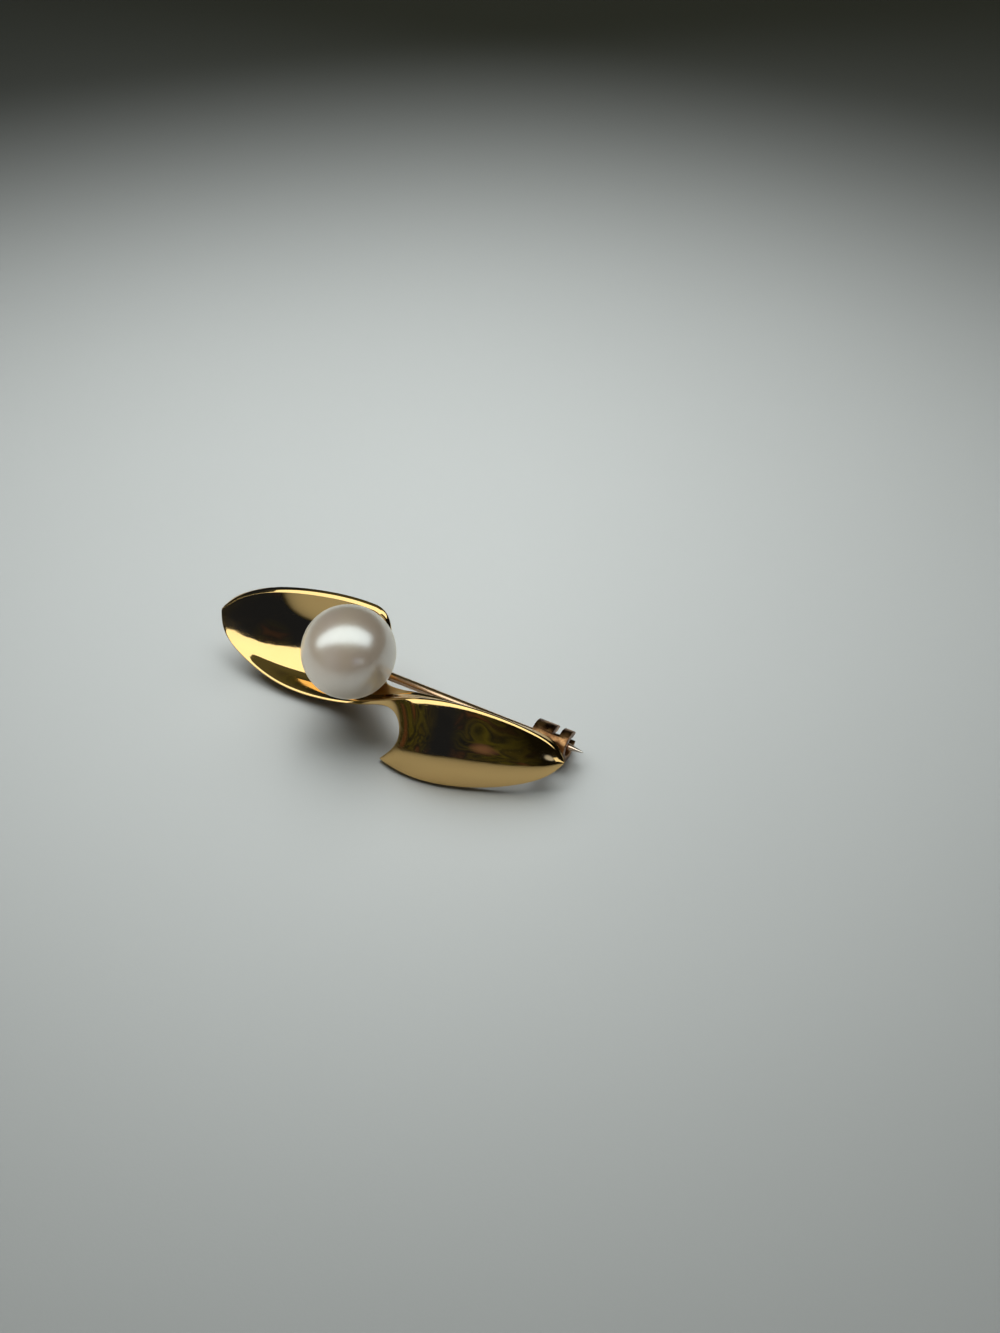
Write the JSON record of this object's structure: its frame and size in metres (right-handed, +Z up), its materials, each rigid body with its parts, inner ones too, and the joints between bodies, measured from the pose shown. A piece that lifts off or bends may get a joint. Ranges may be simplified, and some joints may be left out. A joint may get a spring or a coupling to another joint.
{
  "type": "leaf brooch with a pearl",
  "caption": "Twisted leaf brooch of polished gold sheet with a pearl on a peg; a pin stem turns on a riveted hinge behind it and shuts into an open-sided tube catch.",
  "frame": {"origin": "middle of the outline seen from above, on the surface that the brooch lies on", "axes": "+X along the leaf from the concave lobe's tip to the domed lobe's tip, +Y towards the pin's side, +Z up from the surface"},
  "size_m": [0.0324, 0.0094, 0.0098],
  "materials": {
    "gold": "mirror polished yellow gold",
    "pearl": "cream white nacre with a soft rose sheen",
    "pin_gold": "drawn rose gold wire, polished to a silvery point",
    "rivet_gold": "satin reddish gold"
  },
  "bodies": {
    "brooch": {"leaf": "gold", "pearl": "pearl", "hinge_rivet": "rivet_gold"},
    "pin": {"pin_stem": "pin_gold"}
  },
  "joints": [
    {"name": "pin_swing", "type": "hinge", "parent": "brooch", "child": "pin", "pos_m": [-0.01039, 0.00224, 0.0013], "axis": [0, 0, 1], "range_deg": [0, 80]}
  ]
}
